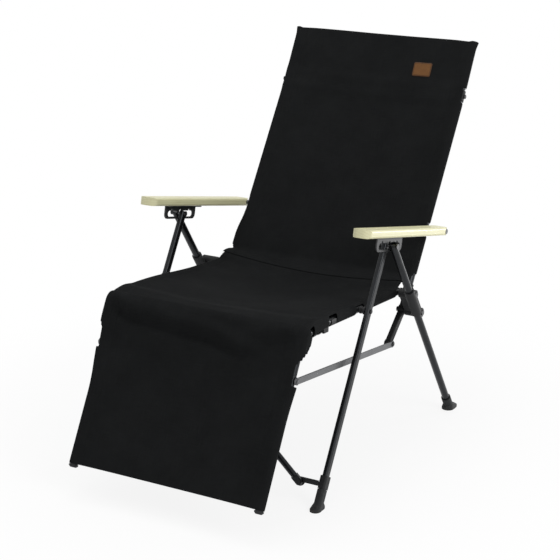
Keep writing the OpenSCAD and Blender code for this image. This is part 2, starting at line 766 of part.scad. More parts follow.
module back_sling() {
    color(cloth) {
        panel(back_path, sag_row(len(back_path), back_sag, 1, 5), rail_x);
        sleeves(rail_x, back_joint, back_up, [[back_start + 6, arm_bolt_s - notch],
            [arm_bolt_s + notch, back_len - notch - 2]]);
        sleeves(rail_x, bend, lean(head_angle), [[notch + 2, head_len + 6]]);
    }
}

foot_side = side_on(foot_angle);
foot_steps = 12;
foot_r = knee_r + 2.6;
foot_taper = crank_len + 10;
foot_path = concat(
    arc_path(knee, foot_r, knee_from + 2, 180 - foot_angle - 6, 5),
    [for (i = [0:foot_steps]) let (s = 3 + (foot_len - 5) * i / foot_steps)
        knee + s * foot_dir
            + (s < foot_taper ? foot_r + (skin_r - foot_r) * s / foot_taper : skin_r) * foot_side]);

module footrest_sling() {
    color(cloth) {
        panel(foot_path, sag_row(len(foot_path), foot_sag, 6, 0), foot_x);
        sleeves(foot_x, knee, foot_dir, [[foot_taper + 1, foot_len - 1]]);
    }
}

side(false) front_leg();  // front_leg_left
side(true) front_leg();  // front_leg_right
side(false) rear_leg();  // rear_leg_left
side(true) rear_leg();  // rear_leg_right
side(false) front_boot();  // front_foot_left
side(true) front_boot();  // front_foot_right
side(false) rear_boot();  // rear_foot_left
side(true) rear_boot();  // rear_foot_right
side(false) leg_pin();  // leg_pin_left
side(true) leg_pin();  // leg_pin_right
side(false) hub();  // hub_left
side(true) hub();  // hub_right
side(false) seat_rail();  // seat_rail_left
side(true) seat_rail();  // seat_rail_right
side(false) knee_fitting();  // knee_fitting_left
side(true) knee_fitting();  // knee_fitting_right
side(false) knee_pin();  // knee_pin_left
side(true) knee_pin();  // knee_pin_right
side(false) rail_saddle();  // rail_saddle_left
side(true) rail_saddle();  // rail_saddle_right
side(false) brace_clip();  // brace_clip_left
side(true) brace_clip();  // brace_clip_right
side(false) brace_bracket(-1);  // brace_bracket_left
side(true) brace_bracket(1);  // brace_bracket_right
side(false) hub_bolts();  // hub_bolts_left
side(true) hub_bolts();  // hub_bolts_right
side(false) back_tube();  // back_tube_left
side(true) back_tube();  // back_tube_right
side(false) head_tube();  // head_tube_left
side(true) head_tube();  // head_tube_right
side(false) back_elbow();  // back_elbow_left
side(true) back_elbow();  // back_elbow_right
side(false) recline_lever();  // recline_lever_left
side(true) recline_lever();  // recline_lever_right
side(false) arm_bolt();  // arm_bolt_left
side(true) arm_bolt();  // arm_bolt_right
side(false) armrest();  // armrest_left
side(true) armrest();  // armrest_right
side(false) arm_bracket();  // arm_bracket_left
side(true) arm_bracket();  // arm_bracket_right
side(false) link_bar();  // link_bar_left
side(true) link_bar();  // link_bar_right
side(false) footrest_rail();  // footrest_rail_left
side(true) footrest_rail();  // footrest_rail_right
side(false) footrest_hinge();  // footrest_hinge_left
side(true) footrest_hinge();  // footrest_hinge_right
side(false) footrest_cap();  // footrest_cap_left
side(true) footrest_cap();  // footrest_cap_right
brace_bar_front();
brace_bar_rear();
brace_rivet();
seat_sling();
back_sling();
footrest_sling();
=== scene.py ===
# Dresses the folding recliner: materials for its frame, and the cloth, stitching and patch.
# Lengths are in metres. Points in the side plane are (y, z).
import json
from collections import namedtuple
from math import acos, atan2, cos, exp, hypot, pi, radians, sin, sqrt

import bpy
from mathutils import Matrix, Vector, noise


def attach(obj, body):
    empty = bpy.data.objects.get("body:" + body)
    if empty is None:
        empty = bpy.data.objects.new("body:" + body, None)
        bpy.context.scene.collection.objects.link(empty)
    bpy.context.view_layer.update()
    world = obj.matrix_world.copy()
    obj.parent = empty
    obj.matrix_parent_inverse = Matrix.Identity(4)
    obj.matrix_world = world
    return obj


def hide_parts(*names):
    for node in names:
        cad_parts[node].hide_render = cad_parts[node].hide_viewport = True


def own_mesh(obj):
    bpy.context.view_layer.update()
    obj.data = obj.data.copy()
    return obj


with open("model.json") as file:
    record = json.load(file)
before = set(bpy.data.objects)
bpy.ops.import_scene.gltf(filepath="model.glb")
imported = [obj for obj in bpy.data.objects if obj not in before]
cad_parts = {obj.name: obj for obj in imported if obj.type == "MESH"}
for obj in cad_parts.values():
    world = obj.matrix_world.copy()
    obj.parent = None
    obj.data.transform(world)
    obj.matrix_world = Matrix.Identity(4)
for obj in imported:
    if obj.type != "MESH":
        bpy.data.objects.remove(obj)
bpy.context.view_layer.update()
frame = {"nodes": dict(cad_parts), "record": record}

# ---- The chair's measures, as in the part's source ----
RAIL_X = 0.2475  # the seat's and the back's tubes, from the middle
FOOT_X = 0.244  # the footrest's tubes
TUBE_R = 0.0095
PIN = Vector((-0.0174, 0.535))  # where the legs cross
FRONT_FOOT = Vector((-0.3454, 0))
REAR_FOOT = Vector((0.3506, 0))
RAIL_JOINT_S = 0.2031  # the joints' places down the rear leg, from the pin
BACK_JOINT_S = 0.2722
JOINT_OUT = 0.0181  # and how far they stand off the leg's line
SEAT_RISE = 5.3
BACK_ANGLE = 34
HEAD_ANGLE = 30
FOOT_ANGLE = 29.3
ARM_TILT = 13.2
RAIL_LEN = 0.38
TIP_LEN = 0.0914
BACK_LEN = 0.572
HEAD_LEN = 0.145
FOOT_LEN = 0.388
CLIP_S = RAIL_LEN - 0.031  # the brace's clip, along the rail
ARM_ABOVE_PIN = 0.030

# ---- The cloth's measures ----
CLOTH = 0.0014
LIFT = CLOTH / 2  # the cloth's face, off its middle
SKIN_R = TUBE_R + 0.0015  # the middle of a sleeve's cloth round its tube
SEAM_IN = 0.024  # a sleeve's seam, inboard of the tube
TIP_SLEEVE = 0.064  # the seat's sleeves in front of the rails' bend
KNEE_R = 0.0235  # how far the cloth stands off the knee
KNEE_WRAP_R = KNEE_R + 0.0026  # the footrest's cloth over the seat's
FOOT_TAPER = 0.11  # where the footrest's cloth comes down to its tubes
CREASE_R = 0.08  # the seat's cloth, round the back's joint
FOLD_SHIFT = 0.3122  # how far the fold brings the right side in


def lean(angle):
    """Direction in the side plane, leaning back from upright."""
    return Vector((sin(radians(angle)), cos(radians(angle))))


def faces_sitter(direction):
    """The normal on the sitter's side of a direction that climbs or runs to the rear."""
    return Vector((-direction.y, direction.x))


def forward(angle):
    """Direction in the side plane, forward and rising by an angle."""
    return Vector((-cos(radians(angle)), sin(radians(angle))))


def turned(angle):
    """Direction in the side plane, turned up from level and rearward."""
    return Vector((cos(radians(angle)), sin(radians(angle))))


def ease(share):
    """0 to 1 with soft ends."""
    t = min(1.0, max(0.0, share))
    return t * t * (3 - 2 * t)


REAR_DIR = (REAR_FOOT - PIN).normalized()
REAR_OUT = faces_sitter(REAR_DIR)
RAIL_JOINT = PIN + RAIL_JOINT_S * REAR_DIR + JOINT_OUT * REAR_OUT
BACK_JOINT = PIN + BACK_JOINT_S * REAR_DIR + JOINT_OUT * REAR_OUT
RAIL_DIR = forward(SEAT_RISE)
RAIL_UP = lean(SEAT_RISE)
RAIL_BEND = RAIL_JOINT + RAIL_LEN * RAIL_DIR
TIP_DIR = Vector((-1, 0))
TIP_UP = Vector((0, 1))
KNEE = RAIL_BEND + TIP_LEN * TIP_DIR
BACK_UP = lean(BACK_ANGLE)
HEAD_UP = lean(HEAD_ANGLE)
BEND = BACK_JOINT + BACK_LEN * BACK_UP
FOOT_DIR = -lean(FOOT_ANGLE)
# The saddle is where the rail passes the front leg
LEG_SIDE = Vector((PIN.y - FRONT_FOOT.y, FRONT_FOOT.x - PIN.x)).normalized()
SADDLE_S = (PIN - RAIL_JOINT).dot(LEG_SIDE) / RAIL_DIR.dot(LEG_SIDE)
ARM_DIR = forward(ARM_TILT)
ARM_UP = lean(ARM_TILT)
ARM_LINE = PIN + ARM_ABOVE_PIN * ARM_UP
BACK_OUT = faces_sitter(BACK_UP)
ARM_REACH = (ARM_LINE - BACK_JOINT).dot(BACK_OUT) / -ARM_DIR.dot(BACK_OUT)
ARM_BOLT = ARM_LINE + ARM_REACH * ARM_DIR


# ---- Materials ----
MIX_COLOURS = (6, 7)  # the Mix node's sockets for colours
MIX_RESULT = 2
THREAD_PITCH = 0.0011  # of the cloth's weave
RING_PITCH = 0.0058  # of the wood's growth rings
PATCH_W = 0.052
PATCH_H = 0.037


class Wire:
    """An output socket; arithmetic on it adds Math nodes."""

    def __init__(self, finish, socket):
        self.finish = finish
        self.socket = socket

    def maths(self, operation, *values):
        return self.finish.node("ShaderNodeMath", {"operation": operation}, *values)

    def __add__(self, other):
        return self.maths("ADD", self, other)

    def __sub__(self, other):
        return self.maths("SUBTRACT", self, other)

    def __rsub__(self, other):
        return self.maths("SUBTRACT", other, self)

    def __mul__(self, other):
        return self.maths("MULTIPLY", self, other)

    def __pow__(self, other):
        return self.maths("POWER", self, other)

    def __abs__(self):
        return self.maths("ABSOLUTE", self)

    __radd__ = __add__
    __rmul__ = __mul__

    def sine(self):
        return self.maths("SINE", self)

    def at_most(self, limit):
        return self.maths("MINIMUM", self, limit)

    def above(self, edge, width):
        """0 below the edge and 1 above it, over a soft width."""
        soft = {"interpolation_type": "SMOOTHSTEP"}
        low, high = edge - width / 2, edge + width / 2
        return self.finish.node("ShaderNodeMapRange", soft, self, low, high)


class Finish:
    """A material round one Principled shader, whose fixed values come by name."""

    def __init__(self, name, **fixed):
        self.material = bpy.data.materials.new(name)
        self.material.use_nodes = True
        self.tree = self.material.node_tree
        self.shader = self.tree.nodes["Principled BSDF"]
        for socket, value in fixed.items():
            self.shader.inputs[socket.replace("_", " ")].default_value = value

    def node(self, kind, settings, *values, out=0, **named):
        """Adds a node; its inputs get Wires or fixed values, by number or by name."""
        made = self.tree.nodes.new(kind)
        for setting, value in settings.items():
            setattr(made, setting, value)
        for where, value in [*enumerate(values), *named.items()]:
            socket = made.inputs[where]
            if isinstance(value, Wire):
                self.tree.links.new(value.socket, socket)
            elif value is not None:
                socket.default_value = value
        return Wire(self, made.outputs[out])

    def place(self, kind="Object"):
        return self.node("ShaderNodeTexCoord", {}, out=kind)

    def split(self, where):
        """The three coordinates of a place."""
        first = self.node("ShaderNodeSeparateXYZ", {}, where)
        return [Wire(self, socket) for socket in first.socket.node.outputs]

    def grain(self, where, scale, detail=3.0, rough=0.5, stretch=None):
        """Noise from 0 to 1, stretched by a Mapping node."""
        if stretch:
            where = self.node("ShaderNodeMapping", {}, where, Scale=stretch)
        return self.node(
            "ShaderNodeTexNoise", {}, Vector=where, Scale=scale, Detail=detail, Roughness=rough
        )

    def blend(self, share, first, second):
        """A colour between two, by a share from 0 to 1."""
        made = self.tree.nodes.new("ShaderNodeMix")
        made.data_type = "RGBA"
        self.tree.links.new(share.socket, made.inputs[0])
        for number, colour in zip(MIX_COLOURS, (first, second)):
            if isinstance(colour, Wire):
                self.tree.links.new(colour.socket, made.inputs[number])
            else:
                made.inputs[number].default_value = (*colour, 1)
        return Wire(self, made.outputs[MIX_RESULT])

    def feed(self, socket, wire):
        self.tree.links.new(wire.socket, self.shader.inputs[socket])

    def relief(self, height, depth, strength):
        """Bump whose height from 0 to 1 is a depth in metres."""
        bump = self.node("ShaderNodeBump", {}, Strength=strength, Distance=depth, Height=height)
        self.feed("Normal", bump)


def woven_cloth():
    """Dense black polyester canvas, on the piece's own UV map in metres."""
    cloth = Finish("black woven cloth", Specular_IOR_Level=0.03)
    uv = cloth.place("UV")
    across, along, _ = cloth.split(uv)
    warp = (across * (pi / THREAD_PITCH)).sine()
    weft = (along * (pi / THREAD_PITCH)).sine()
    weave = warp * weft * 0.5 + 0.5
    slub_warp = cloth.grain(uv, 90, 2.0, stretch=(9.0, 0.35, 1))
    slub_weft = cloth.grain(uv, 90, 2.0, stretch=(0.35, 9.0, 1))
    slubs = (slub_warp + slub_weft) * 0.5
    mottle = cloth.grain(uv, 11, 4.0, 0.6)
    tone = slubs * 0.9 + weave * 0.18 + mottle * 0.6 - 0.42
    dark = (0.0060, 0.0063, 0.0066)
    light = (0.0175, 0.0184, 0.0190)
    cloth.feed("Base Color", cloth.blend(tone, dark, light))
    cloth.feed("Roughness", 0.98 - 0.12 * slubs)
    cloth.relief(weave * 0.7 + slubs * 0.6, 0.00022, 0.55)
    return cloth.material


def anodised_tube():
    """Charcoal aluminium with fine drawing lines and rubbed spots."""
    tube = Finish("charcoal anodised tube", Metallic=0.85)
    where = tube.place()
    fine = tube.grain(where, 900, 2.0)
    wipe = tube.grain(where, 38, 4.0, 0.6)
    wear = tube.grain(where, 120, 5.0, 0.7).above(0.68, 0.1)
    base = tube.blend(wipe, (0.015, 0.016, 0.0175), (0.033, 0.035, 0.038))
    tube.feed("Base Color", tube.blend(wear * 0.25, base, (0.16, 0.163, 0.17)))
    tube.feed("Roughness", 0.27 + 0.14 * wipe + 0.06 * fine)
    tube.relief(fine, 0.00004, 0.4)
    return tube.material


def coated_bar(name, low, high):
    """Satin coating, grey on the link bars and black on the brackets."""
    bar = Finish(name, Metallic=0.35)
    where = bar.place()
    peel = bar.grain(where, 420, 2.0)
    tone = bar.grain(where, 26, 4.0, 0.6)
    bar.feed("Base Color", bar.blend(tone, low, high))
    bar.feed("Roughness", 0.42 + 0.14 * tone)
    bar.relief(peel, 0.00006, 0.5)
    return bar.material


def moulded_plastic():
    """Black glass-filled nylon with a spark-eroded grain."""
    nylon = Finish("black moulded nylon", Specular_IOR_Level=0.22)
    where = nylon.place()
    grit = nylon.grain(where, 1500, 2.0)
    flow = nylon.grain(where, 24, 4.0, 0.6, stretch=(1, 1, 0.4))
    base = nylon.blend(flow, (0.011, 0.0112, 0.012), (0.021, 0.0215, 0.0225))
    nylon.feed("Base Color", base)
    nylon.feed("Roughness", 0.52 + 0.2 * flow)
    nylon.relief(grit, 0.00007, 0.5)
    return nylon.material


def boot_rubber():
    """Dull black rubber, scuffed pale near the floor."""
    rubber = Finish("dull boot rubber", Specular_IOR_Level=0.3)
    where = rubber.place()
    _, _, height = rubber.split(where)
    scuffs = rubber.grain(where, 160, 5.0, 0.75).above(0.55, 0.2)
    low = 1 - height.above(0.012, 0.016)
    dust = scuffs * low * 0.5
    base = rubber.blend(dust, (0.016, 0.0175, 0.018), (0.10, 0.095, 0.085))
    rubber.feed("Base Color", base)
    rubber.feed("Roughness", 0.72 + 0.18 * scuffs)
    rubber.relief(rubber.grain(where, 700, 3.0), 0.00012, 0.5)
    return rubber.material


def zinc_steel():
    """Zinc plated fasteners with fine turning marks."""
    zinc = Finish("zinc plated steel", Metallic=0.95)
    where = zinc.place()
    cloud = zinc.grain(where, 220, 4.0, 0.65)
    marks = zinc.grain(where, 2600, 2.0)
    zinc.feed("Base Color", zinc.blend(cloud, (0.05, 0.05, 0.052), (0.13, 0.132, 0.136)))
    zinc.feed("Roughness", 0.28 + 0.22 * cloud)
    zinc.relief(marks, 0.00003, 0.5)
    return zinc.material


def pale_wood():
    """Clear lacquered ash, its grain running along the armrests."""
    wood = Finish("pale lacquered wood", Coat_Weight=0.25, Coat_Roughness=0.3)
    level = (radians(ARM_TILT), 0, 0)
    where = wood.node("ShaderNodeMapping", {}, wood.place(), Rotation=level)
    warp = wood.grain(where, 9, 3.0, 0.5, stretch=(1, 0.12, 1))
    across, _, depth = wood.split(where)
    # The growth rings' heart lies about 80 mm below each board's inner edge
    spread = abs(across) - 0.262
    rings = (spread * spread + (depth - 0.46) ** 2) ** 0.5 + warp * 0.016
    ring = (rings * (2 * pi / RING_PITCH)).sine() * 0.5 + 0.5
    late_wood = ring ** 3
    pores = wood.grain(where, 260, 3.0, 0.6, stretch=(3.2, 0.07, 3.2))
    figure = wood.grain(where, 14, 4.0, 0.6, stretch=(2.5, 0.25, 2.5))
    base = wood.blend(figure, (0.60, 0.585, 0.345), (0.68, 0.67, 0.44))
    base = wood.blend(late_wood * 0.3, base, (0.53, 0.44, 0.23))
    streak = pores.above(0.60, 0.10)
    wood.feed("Base Color", wood.blend(streak * 0.25, base, (0.44, 0.35, 0.18)))
    wood.feed("Roughness", 0.42 + 0.16 * figure + 0.1 * streak)
    wood.relief(1 - streak * 0.6 - late_wood * 0.25, 0.00012, 0.5)
    return wood.material


def tan_leather():
    """Vegetable tanned hide, darker and burnished at its cut edges."""
    hide = Finish("tan leather", Specular_IOR_Level=0.28)
    uv = hide.place("UV")
    across, along, _ = hide.split(uv)
    edge = abs(across).above(PATCH_W / 2 - 0.0024, 0.003)
    edge = edge + abs(along).above(PATCH_H / 2 - 0.0024, 0.003)
    pebble = hide.node("ShaderNodeTexVoronoi", {"feature": "DISTANCE_TO_EDGE"}, uv, Scale=900)
    cloud = hide.grain(uv, 90, 5.0, 0.65)
    base = hide.blend(cloud, (0.083, 0.031, 0.0050), (0.182, 0.075, 0.0145))
    hide.feed("Base Color", hide.blend(edge * 0.7, base, (0.033, 0.012, 0.004)))
    hide.feed("Roughness", 0.45 + 0.25 * cloud)
    hide.relief(pebble * 3 + cloud * 0.8, 0.0003, 0.6)
    return hide.material


def sewing_thread():
    """Bonded polyester thread, on Object coordinates."""
    thread = Finish("black sewing thread", Specular_IOR_Level=0.08)
    twist = thread.grain(thread.place(), 2400, 2.0)
    base = thread.blend(twist, (0.004, 0.004, 0.0044), (0.0105, 0.0108, 0.0115))
    thread.feed("Base Color", base)
    thread.feed("Roughness", 0.5 + 0.2 * twist)
    thread.relief(twist, 0.00008, 0.6)
    return thread.material


finishes = {
    "tube": anodised_tube(),
    "bracket": coated_bar("black coated bracket", (0.019, 0.0195, 0.021), (0.036, 0.037, 0.039)),
    "link": coated_bar("grey coated bar", (0.082, 0.084, 0.088), (0.135, 0.138, 0.143)),
    "plastic": moulded_plastic(),
    "rubber": boot_rubber(),
    "steel": zinc_steel(),
    "timber": pale_wood(),
    "cloth": woven_cloth(),
    "leather": tan_leather(),
    "thread": sewing_thread(),
}


def dress(piece, finish):
    piece.data.materials.clear()
    piece.data.materials.append(finishes[finish])


for subpart in frame["record"]["subparts"]:
    link = subpart["node"].startswith("link_bar")
    dress(frame["nodes"][subpart["node"]], "link" if link else subpart["material_slot"])


# ---- Cloth ----
Row = namedtuple("Row", "point out sag rise")
BARE = -1.0
ARC_STEP = 7  # degrees from row to row round an arc
ROW_STEP = 0.009  # and metres along a straight run
LEAST_STEP = 0.002
SAG_POWER = 1.08  # near 1, the sag is a parabola across the sheet
WRAP_STEPS = 12  # a sleeve's steps round its tube
UNDER_STEPS = 4  # and from there to its seam
KEPT_AT_CUTS = 4  # steps of the sleeve that are left over a cut
LOWER_FROM = 3  # a raised sleeve comes back down to its tube from this step
LOWER_OVER = 5  # over so many steps
HANG = 1.4  # how far cloth hangs beside a bare tube, against the arc round it
SPAN_STEPS = 22  # steps across the sheet, between the seams
SEAM_LAP = 0.0021  # the sleeve's end lies this far under the sheet
STITCH_PITCH = 0.0042
STITCH_AHEAD = 0.002  # where a stitch's direction is read
STITCH_LEN = 0.0031
STITCH_THICK = 0.0008
SEAM_END = 0.006  # where a seam starts and ends, from the ends of its sheet
SEAT_SEAM_START = 0.050  # where the back's cloth no longer lies over the seat's seams
BACK_HEM = 0.03  # seams of the hems, from the sheets' ends
FOOT_HEM = 0.022


class Panel:
    """A sling's middle surface, as rows down the side plane.

    Each row has a point over its tubes, the normal there, the sag between them, and the
    rise: how far a sleeve stands above its tube, or BARE where there is no sleeve.
    """

    def __init__(self, half):
        self.half = half
        self.rows = []
        self.along = [0.0]
        self.length = 0.0

    def arc(self, centre, radius, first, last, sag):
        """Rows round a centre, without sleeves, between two angles in degrees."""
        steps = max(3, round(abs(last - first) / ARC_STEP))
        for i in range(steps + 1):
            out = turned(first + (last - first) * i / steps)
            self.rows.append(Row(centre + radius * out, out, sag, BARE))

    def run(self, start, end, out, sags, sleeve=True, lift=lambda share: SKIN_R):
        """Rows along a line; the sag and the height above it go by the share of the way."""
        steps = max(2, round((end - start).length / ROW_STEP))
        for i in range(steps + 1):
            share = i / steps
            rise = lift(share) - SKIN_R if sleeve else BARE
            point = start.lerp(end, share) + lift(share) * out
            self.rows.append(Row(point, out, sags(share), rise))

    def lay_out(self):
        """Drops rows that lie too close and measures the length along the panel."""
        kept = [self.rows[0]]
        for row in self.rows[1:]:
            if (row.point - kept[-1].point).length > LEAST_STEP:
                kept.append(row)
        self.rows = kept
        for before, after in zip(kept, kept[1:]):
            self.along.append(self.along[-1] + (after.point - before.point).length)
        self.length = self.along[-1]

    def row_at(self, along):
        """The (point, normal, sag) at a length along the panel."""
        spot = min(max(along, 0.0), self.length)
        i = 0
        while i < len(self.along) - 2 and self.along[i + 1] < spot:
            i += 1
        share = (spot - self.along[i]) / (self.along[i + 1] - self.along[i])
        before, after = self.rows[i], self.rows[i + 1]
        point = before.point.lerp(after.point, share)
        out = before.out.lerp(after.out, share).normalized()
        return point, out, before.sag + (after.sag - before.sag) * share

    def drop(self, along, x):
        """How far the cloth lies below its edges: sag, seams and creases."""
        _, _, sag = self.row_at(along)
        u = min(1.0, abs(x) / self.half)
        return sag * (1 - u * u) ** SAG_POWER - self.relief(along, x)

    def relief(self, along, x):
        """How far seams, ripples and folds lift the cloth."""
        return 0.0

    def slide(self, along, x):
        """How far the cloth is drawn along the panel, away from a hollow hem."""
        return 0.0

    def flare(self, along, side):
        """How much wider than its tube the sleeve on one side is."""
        return 1.0

    def hang(self, along):
        """How many of the sleeve's steps hang down beside a bare tube."""
        return 3

    def at(self, along, x, lift=0.0):
        """The point of the cloth at a place on the panel, lifted towards the sitter."""
        drawn = along + self.slide(along, x)
        point, out, _ = self.row_at(drawn)
        flat = point + out * (lift - self.drop(drawn, x))
        return Vector((x, flat.x, flat.y))


def ripples(along, x, half, seed):
    """Puckers that run in from the seams, and broad soft waves."""
    edge = exp(-(half - abs(x)) / 0.045)
    side = 1.0 if x > 0 else -1.0
    pucker = noise.noise(Vector((along * 34, x * 5, seed + side))) * 0.0016 * edge
    broad = noise.noise(Vector((along * 6, x * 5, seed + 7))) * 0.0026
    fine = noise.noise(Vector((along * 15, x * 9, seed + 13))) * 0.0009
    fade = 1 - exp(-(half - abs(x)) / 0.02)
    return (pucker + broad + fine) * fade


def valley(distance, width, depth):
    """A soft hollow along a line, at a distance from it."""
    return -depth * exp(-((distance / width) ** 2))


def add_piece(name, verts, faces, uvs=None):
    """A mesh object at the origin, with a UV map if one is given."""
    mesh = bpy.data.meshes.new(name)
    mesh.from_pydata([tuple(v) for v in verts], [], faces)
    if uvs:
        layer = mesh.uv_layers.new(name="UVMap")
        for loop in mesh.loops:
            layer.data[loop.index].uv = uvs[loop.vertex_index]
    piece = bpy.data.objects.new(name, mesh)
    bpy.context.scene.collection.objects.link(piece)
    return piece


def select_only(piece):
    bpy.ops.object.select_all(action="DESELECT")
    piece.select_set(True)
    bpy.context.view_layer.objects.active = piece


def edit_mesh(piece, *steps):
    """Runs operators on the whole mesh."""
    select_only(piece)
    bpy.ops.object.mode_set(mode="EDIT")
    for step in steps:
        bpy.ops.mesh.select_all(action="SELECT")
        step()
    bpy.ops.object.mode_set(mode="OBJECT")


def merge_doubles():
    bpy.ops.mesh.remove_doubles(threshold=0.00005)


def face_outward():
    bpy.ops.mesh.normals_make_consistent(inside=False)


def sleeve_underside(half, side, axis, out, seam_spot):
    """Four points from below the tube, round its inner side and straight to the seam."""
    inward = half - abs(seam_spot.x)
    height = (Vector((seam_spot.y, seam_spot.z)) - axis).dot(out)
    leave = 2 * pi - atan2(inward, height) - acos(SKIN_R / hypot(inward, height))
    spots = []
    for angle in ((pi + leave) / 2, leave):
        flat = axis + out * (SKIN_R * cos(angle))
        spots.append(Vector((side * (half + SKIN_R * sin(angle)), flat.x, flat.y)))
    return [*spots, spots[-1].lerp(seam_spot, 0.5), seam_spot]


def places_across(half):
    """Where a sheet has points between its tubes, closer together at the seams."""
    reach = half - SEAM_IN
    stops = [half - 0.006, half - 0.013, reach + 0.003, reach, reach - 0.003, reach - 0.012]
    inner = reach - 0.03
    middle = [inner - 2 * inner * i / SPAN_STEPS for i in range(SPAN_STEPS + 1)]
    return stops + middle + [-x for x in reversed(stops)]


def sleeve_ring(panel, number, side):
    """One side's sleeve at a row, from the top of its tube round to the seam.

    Each item is (point, place across the flat cloth). Where the tube is bare, the cloth
    hangs straight down beside it.
    """
    point, out, _, rise = panel.rows[number]
    along = panel.along[number]
    risen = max(0.0, rise)
    centre = point - out * SKIN_R
    ring = []
    for k in range(WRAP_STEPS + 1):
        angle = pi * k / WRAP_STEPS
        wide, high = sin(angle), cos(angle)
        if rise == BARE and angle > pi / 2:
            wide, high = 1.0, HANG * (pi / 2 - angle)
        x = side * (panel.half + SKIN_R * wide * panel.flare(along, side))
        lowered = risen * ease((k - LOWER_FROM) / LOWER_OVER)
        flat = centre + out * (SKIN_R * high - lowered)
        ring.append((Vector((x, flat.x, flat.y)), side * (panel.half + SKIN_R * angle)))
    seam_spot = panel.at(along, side * (panel.half - SEAM_IN), -SEAM_LAP)
    girth = panel.half + SKIN_R * pi
    last = ring[-1][0]
    for spot in sleeve_underside(panel.half, side, centre - out * risen, out, seam_spot):
        girth += (spot - last).length
        ring.append((spot, side * girth))
        last = spot
    return ring


def build_sheet(name, panel, cutouts):
    """The panel with a sleeve round each tube, as one sheet of quads."""
    verts, uvs, faces = [], [], []
    for i, along in enumerate(panel.along):
        ring = list(reversed(sleeve_ring(panel, i, 1)))
        ring += [(panel.at(along, x), x) for x in places_across(panel.half)]
        ring += sleeve_ring(panel, i, -1)
        for spot, u in ring:
            verts.append(spot)
            uvs.append((u, along))
    width = len(verts) // len(panel.rows)
    loose = WRAP_STEPS + 1 + UNDER_STEPS
    for i in range(len(panel.rows) - 1):
        middle = (panel.along[i] + panel.along[i + 1]) / 2
        bare = BARE in (panel.rows[i].rise, panel.rows[i + 1].rise)
        cut = bare or any(first < middle < last for first, last in cutouts)
        kept = panel.hang(middle) if bare else KEPT_AT_CUTS
        for j in range(width - 1):
            rim = min(j, width - 2 - j)
            if cut and rim < loose - kept:
                continue
            a = i * width + j
            faces.append((a, a + 1, a + width + 1, a + width))
    piece = add_piece(name, verts, faces, uvs)
    edit_mesh(piece, bpy.ops.mesh.delete_loose, merge_doubles)
    turn_outward(piece, panel)
    solid = piece.modifiers.new("thickness", "SOLIDIFY")
    solid.thickness = CLOTH
    solid.offset = 0
    smooth = piece.modifiers.new("smooth", "SUBSURF")
    smooth.levels = smooth.render_levels = 1
    select_only(piece)
    for modifier in list(piece.modifiers):
        bpy.ops.object.modifier_apply(modifier=modifier.name)
    bpy.ops.object.shade_smooth()
    dress(piece, "cloth")
    return piece


def turn_outward(piece, panel):
    """Flips the faces if the panel's middle looks away from the sitter."""
    out = panel.rows[len(panel.rows) // 2].out
    inside_seams = panel.half - 0.03
    total = sum(
        (face.normal.y * out.x + face.normal.z * out.y) * face.area
        for face in piece.data.polygons
        if abs(face.center.x) < inside_seams
    )
    if total < 0:
        piece.data.flip_normals()


def build_stitches(name, spots, length, thick):
    """Thread stitches as small pointed beads; spots are (point, along, normal)."""
    verts, faces = [], []
    for point, along, normal in spots:
        along = along.normalized()
        side = along.cross(normal).normalized()
        first = len(verts)
        verts += [point - along * length / 2 - normal * thick * 0.6]
        for share in (-0.3, 0.3):
            middle = point + along * (share * length)
            verts += [
                middle + side * thick / 2,
                middle + normal * thick * 0.7,
                middle - side * thick / 2,
                middle - normal * thick * 0.5,
            ]
        verts += [point + along * length / 2 - normal * thick * 0.6]
        tip = len(verts) - 1
        for k in range(4):
            a, b = first + 1 + k, first + 1 + (k + 1) % 4
            faces += [(first, b, a), (a, b, b + 4, a + 4), (a + 4, b + 4, tip)]
    piece = add_piece(name, verts, faces)
    edit_mesh(piece, face_outward)
    bpy.ops.object.shade_smooth()
    dress(piece, "thread")
    return piece


def stitch_places(first, last):
    """From first up to last, a stitch's pitch apart."""
    places = []
    while first < last:
        places.append(first)
        first += STITCH_PITCH
    return places


def stitch_spot(panel, along, x, ahead, lift):
    """A stitch's (point, direction, normal); it looks ahead by a step (along, x)."""
    point = panel.at(along, x, lift)
    _, out, _ = panel.row_at(along)
    next_point = panel.at(along + ahead[0], x + ahead[1], lift)
    return point, next_point - point, Vector((0, out.x, out.y))


def stitch_panel(name, panel, hems, first=SEAM_END):
    """Stitching down both seams of a sheet, and across it at its hems."""
    reach = panel.half - SEAM_IN
    spots = [
        stitch_spot(panel, along, side * reach, (STITCH_AHEAD, 0), LIFT)
        for side in (1, -1)
        for along in stitch_places(first, panel.length - SEAM_END)
    ]
    spots += [
        stitch_spot(panel, along, x, (0, STITCH_AHEAD), LIFT)
        for along in hems
        for x in stitch_places(-reach, reach)
    ]
    return build_stitches(name, spots, STITCH_LEN, STITCH_THICK)


def through(x, points):
    """The height at x of a soft line through points (x, height)."""
    if x <= points[0][0]:
        return points[0][1]
    for (x0, y0), (x1, y1) in zip(points, points[1:]):
        if x < x1:
            return y0 + (y1 - y0) * ease((x - x0) / (x1 - x0))
    return points[-1][1]


LAP = 0.03  # left without ripples where the seat's and the back's cloth overlap
LAP_EASE = 0.08
CREASE_SAG = 0.020
KNEE_SAG = 0.003
FOOT_LEAD = 0.017  # where the knee comes, along the footrest's cloth
RAIL_RISE = 0.0085  # how much higher the seat's cloth stands at the rails' bend

